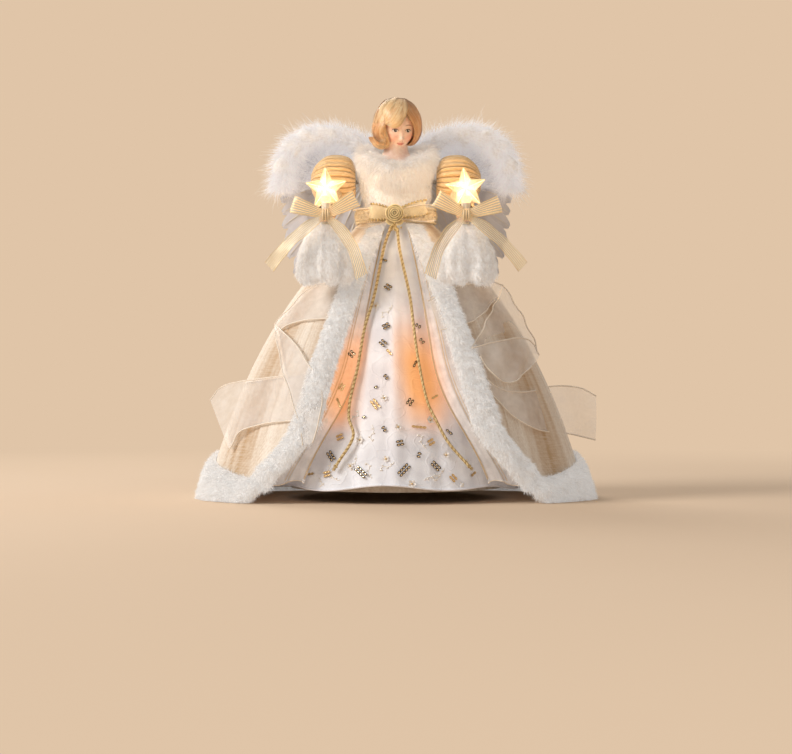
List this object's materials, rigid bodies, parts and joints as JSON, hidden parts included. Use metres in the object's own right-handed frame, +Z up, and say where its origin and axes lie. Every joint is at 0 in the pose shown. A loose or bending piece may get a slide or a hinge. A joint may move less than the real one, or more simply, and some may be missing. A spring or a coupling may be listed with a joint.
{
  "type": "angel tree topper",
  "caption": "Lit angel tree topper in a fur-trimmed champagne robe, with feather wings, poseable arms that hold pull-off star lamps, and a hollow cone that slips over a tree's top shoot.",
  "frame": {"origin": "middle of the footprint on the base plane that the fur hem stands on", "axes": "+Z up, the angel faces -Y, +X towards the viewer's right"},
  "size_m": [0.2976, 0.1972, 0.3045],
  "materials": {
    "white_plush": "long pile",
    "champagne_cloth": "crinkled, slight sheen",
    "white_cloth": "embroidered",
    "organza": "sheer",
    "gold_ribbon": "sheer, striped",
    "gold_braid": "metallic thread",
    "down": "feather down",
    "skin": "satin",
    "hair": "painted, satin",
    "moulded_plastic": "plain",
    "wire": "drawn",
    "star_plastic": "frosted",
    "bulb_glass": "clear"
  },
  "bodies": {
    "figure": {"cone": "moulded_plastic", "torso": "moulded_plastic", "bodice": "white_plush", "fur_collar": "white_plush", "head_bust": "skin", "hair": "hair", "underskirt": "white_cloth", "left_sheer_panel": "organza", "right_sheer_panel": "organza", "left_robe_panel": "champagne_cloth", "right_robe_panel": "champagne_cloth", "back_robe_panel": "champagne_cloth", "left_fur_trim": "white_plush", "right_fur_trim": "white_plush", "left_hem_fur": "white_plush", "right_hem_fur": "white_plush", "back_hem_fur": "white_plush", "waist_band": "gold_braid", "waist_bow": "organza", "rose": "gold_braid", "left_cord": "gold_braid", "right_cord": "gold_braid", "left_ribbon_loop": "organza", "left_ribbon_tail": "organza", "right_ribbon_loop": "organza", "right_ribbon_tail": "organza", "skirt_socket_1": "moulded_plastic", "skirt_socket_2": "moulded_plastic", "skirt_socket_3": "moulded_plastic", "skirt_socket_4": "moulded_plastic", "skirt_bulb_1": "bulb_glass", "skirt_bulb_2": "bulb_glass", "skirt_bulb_3": "bulb_glass", "skirt_bulb_4": "bulb_glass", "wing_bracket": "moulded_plastic"},
    "left_arm": {"left_arm_wire": "wire", "left_sleeve": "champagne_cloth", "left_cuff": "white_plush", "left_hand": "skin", "left_star_socket": "moulded_plastic", "left_star_bulb": "bulb_glass", "left_bow": "gold_ribbon"},
    "right_arm": {"right_arm_wire": "wire", "right_sleeve": "champagne_cloth", "right_cuff": "white_plush", "right_hand": "skin", "right_star_socket": "moulded_plastic", "right_star_bulb": "bulb_glass", "right_bow": "gold_ribbon"},
    "left_star_cover": {"left_star": "star_plastic"},
    "right_star_cover": {"right_star": "star_plastic"},
    "left_wing": {"left_wing_wire": "wire", "left_feathers": "down", "left_marabou": "down"},
    "right_wing": {"right_wing_wire": "wire", "right_feathers": "down", "right_marabou": "down"}
  },
  "joints": [
    {"name": "left_arm_lift", "type": "hinge", "parent": "figure", "child": "left_arm", "pos_m": [-0.031, 0, 0.24], "axis": [-1, 0, 0], "range_deg": [0, 25]},
    {"name": "right_arm_lift", "type": "hinge", "parent": "figure", "child": "right_arm", "pos_m": [0.031, 0, 0.24], "axis": [-1, 0, 0], "range_deg": [0, 25]},
    {"name": "left_star_pull", "type": "slide", "parent": "left_arm", "child": "left_star_cover", "axis": [0, 0, 1], "range_m": [0, 0.025]},
    {"name": "right_star_pull", "type": "slide", "parent": "right_arm", "child": "right_star_cover", "axis": [0, 0, 1], "range_m": [0, 0.025]},
    {"name": "left_wing_fold", "type": "hinge", "parent": "figure", "child": "left_wing", "pos_m": [-0.009, 0.034, 0.236], "axis": [0, 0, -1], "range_deg": [0, 30]},
    {"name": "right_wing_fold", "type": "hinge", "parent": "figure", "child": "right_wing", "pos_m": [0.009, 0.034, 0.236], "axis": [0, 0, 1], "range_deg": [0, 30]}
  ]
}
